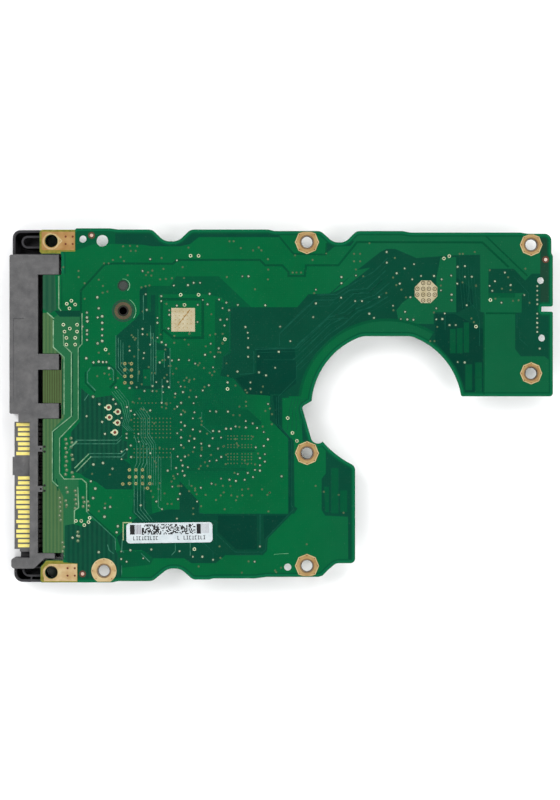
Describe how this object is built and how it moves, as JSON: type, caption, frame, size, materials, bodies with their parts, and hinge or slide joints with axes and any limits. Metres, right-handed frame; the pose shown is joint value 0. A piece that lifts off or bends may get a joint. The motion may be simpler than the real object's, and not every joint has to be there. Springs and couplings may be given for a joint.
{
  "type": "hard disk drive controller board",
  "caption": "Controller board of a 3.5-inch hard disk drive: green circuit board with a round motor bay, edge plug, gold screw pads and components beneath.",
  "frame": {"origin": "middle of the assembly's footprint, level with the underside of the plug, its lowest surface", "axes": "+X from the plug edge to the head-contact edge, +Y across the board towards its upper ear, +Z out of the drive, away from the components"},
  "size_m": [0.1427, 0.093, 0.0064],
  "materials": {
    "green_board": "glossy solder mask",
    "grey_moulding": "matte glass-filled moulding",
    "contact_gold": "gold plated",
    "pad_gold": "thin matte gold plate",
    "tinned_copper": "tinned and re-melted solder",
    "bare_copper": "oxidised bare copper",
    "label_paper": "smooth white label paper",
    "black_package": "moulded epoxy",
    "lead_tin": "tin plated",
    "inductor_ferrite": "pressed ferrite",
    "tantalum_body": "moulded amber epoxy",
    "chip_ceramic": "fired ceramic",
    "resistor_ceramic": "glazed film on ceramic",
    "crystal_can": "seam-sealed metal lid",
    "sensor_ceramic": "white ceramic case"
  },
  "bodies": {
    "root": {"circuit_board": "green_board", "plug_housing": "grey_moulding", "plug_signal_contacts": "contact_gold", "plug_power_contacts": "contact_gold", "plug_secondary_contacts": "contact_gold", "ear_ground_pads": "pad_gold", "outer_screw_rings": "pad_gold", "inner_screw_rings": "pad_gold", "square_thermal_pad": "tinned_copper", "octagonal_thermal_pad": "tinned_copper", "bushing_ring": "bare_copper", "fiducial_dots": "bare_copper", "barcode_label": "label_paper", "head_contact_pads": "contact_gold", "motor_contact_pads": "contact_gold", "main_controller": "black_package", "controller_solder_balls": "lead_tin", "cache_memory": "black_package", "motor_driver": "black_package", "motor_driver_leads": "lead_tin", "flash_memory": "black_package", "flash_memory_leads": "lead_tin", "power_switches": "black_package", "power_switch_leads": "lead_tin", "supply_regulator": "black_package", "power_inductors": "inductor_ferrite", "inductor_terminals": "lead_tin", "bulk_capacitors": "tantalum_body", "bulk_capacitor_terminals": "lead_tin", "surge_diodes": "black_package", "surge_diode_terminals": "lead_tin", "clock_crystal": "crystal_can", "shock_sensors": "sensor_ceramic", "ceramic_capacitors": "chip_ceramic", "ceramic_capacitor_ends": "lead_tin", "chip_resistors": "resistor_ceramic", "chip_resistor_ends": "lead_tin", "pegged_block": "black_package"}
  },
  "joints": []
}
